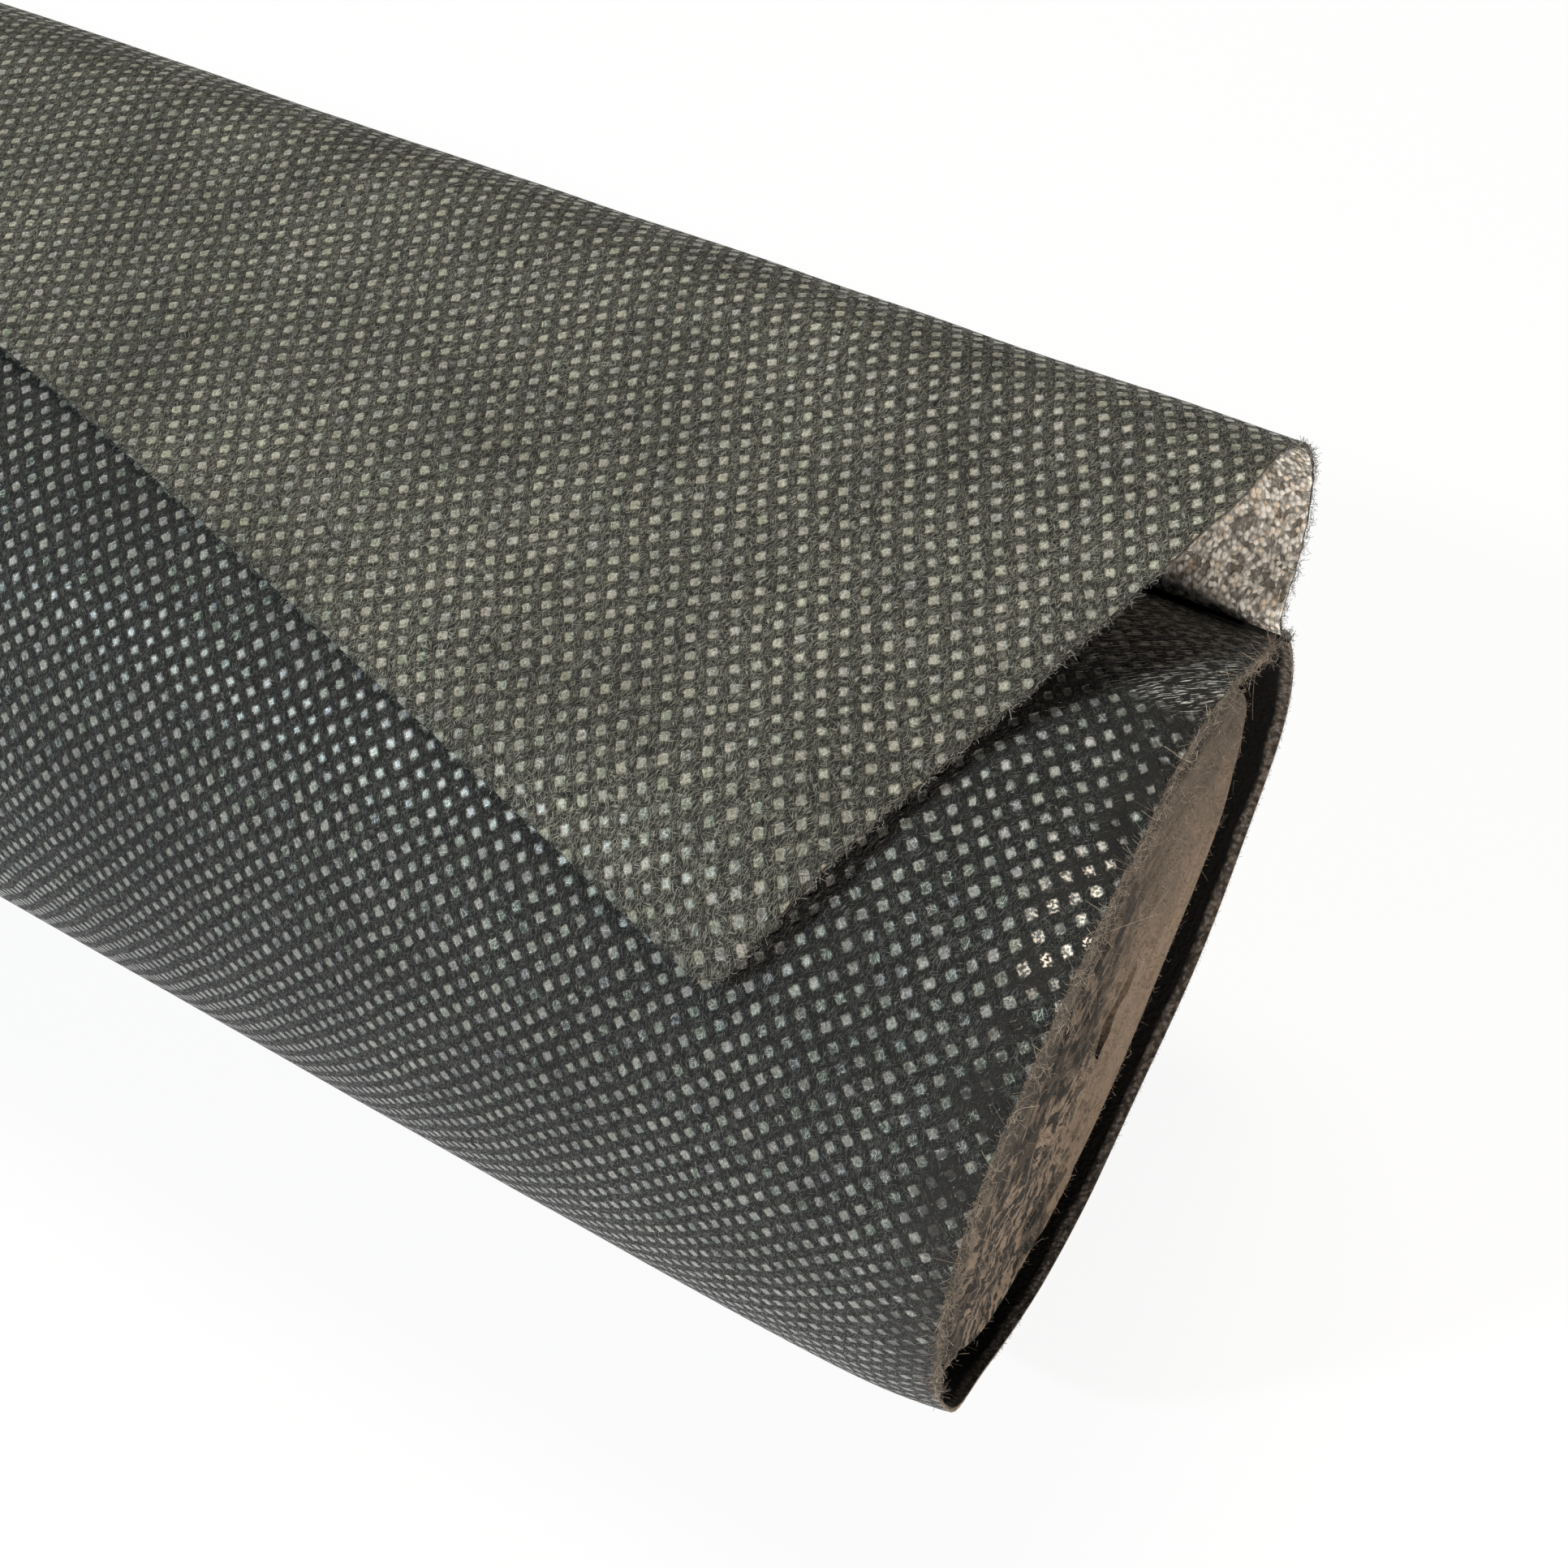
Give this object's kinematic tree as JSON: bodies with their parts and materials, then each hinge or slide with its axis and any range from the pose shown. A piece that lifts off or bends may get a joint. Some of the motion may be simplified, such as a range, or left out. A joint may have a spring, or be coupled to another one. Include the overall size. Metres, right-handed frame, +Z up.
{
  "type": "weed control fabric roll",
  "caption": "Coreless roll of spunbonded weed control fabric lying on its side, its outermost wrap sprung loose into a crest that ends in a free flap",
  "frame": {"origin": "on the ground under the roll's middle: centre of the bounding box in X and Y, its lowest plane in Z", "axes": "+X along the roll towards the end that the picture shows, +Z up, -Y towards the side on which the free flap lies"},
  "size_m": [1.0038, 0.0692, 0.0791],
  "materials": {
    "end_of_the_turns": "edges of tightly wound spunbonded sheet, matt tan-grey",
    "outside_of_the_roll": "matt black spunbonded fabric with point bonds",
    "crest": "matt black spunbonded fabric with point bonds",
    "flap": "matt black spunbonded fabric with point bonds"
  },
  "bodies": {
    "roll": {"tight_inner_turns": "end_of_the_turns", "outer_turns": "outside_of_the_roll", "loose_crest": "crest"},
    "flap": {"free_flap": "flap"}
  },
  "joints": [
    {"name": "flap_lift", "type": "hinge", "parent": "roll", "child": "flap", "pos_m": [0.4981, 0.01496, 0.07852], "axis": [-1, 0, 0], "range_deg": [0, 160]}
  ]
}
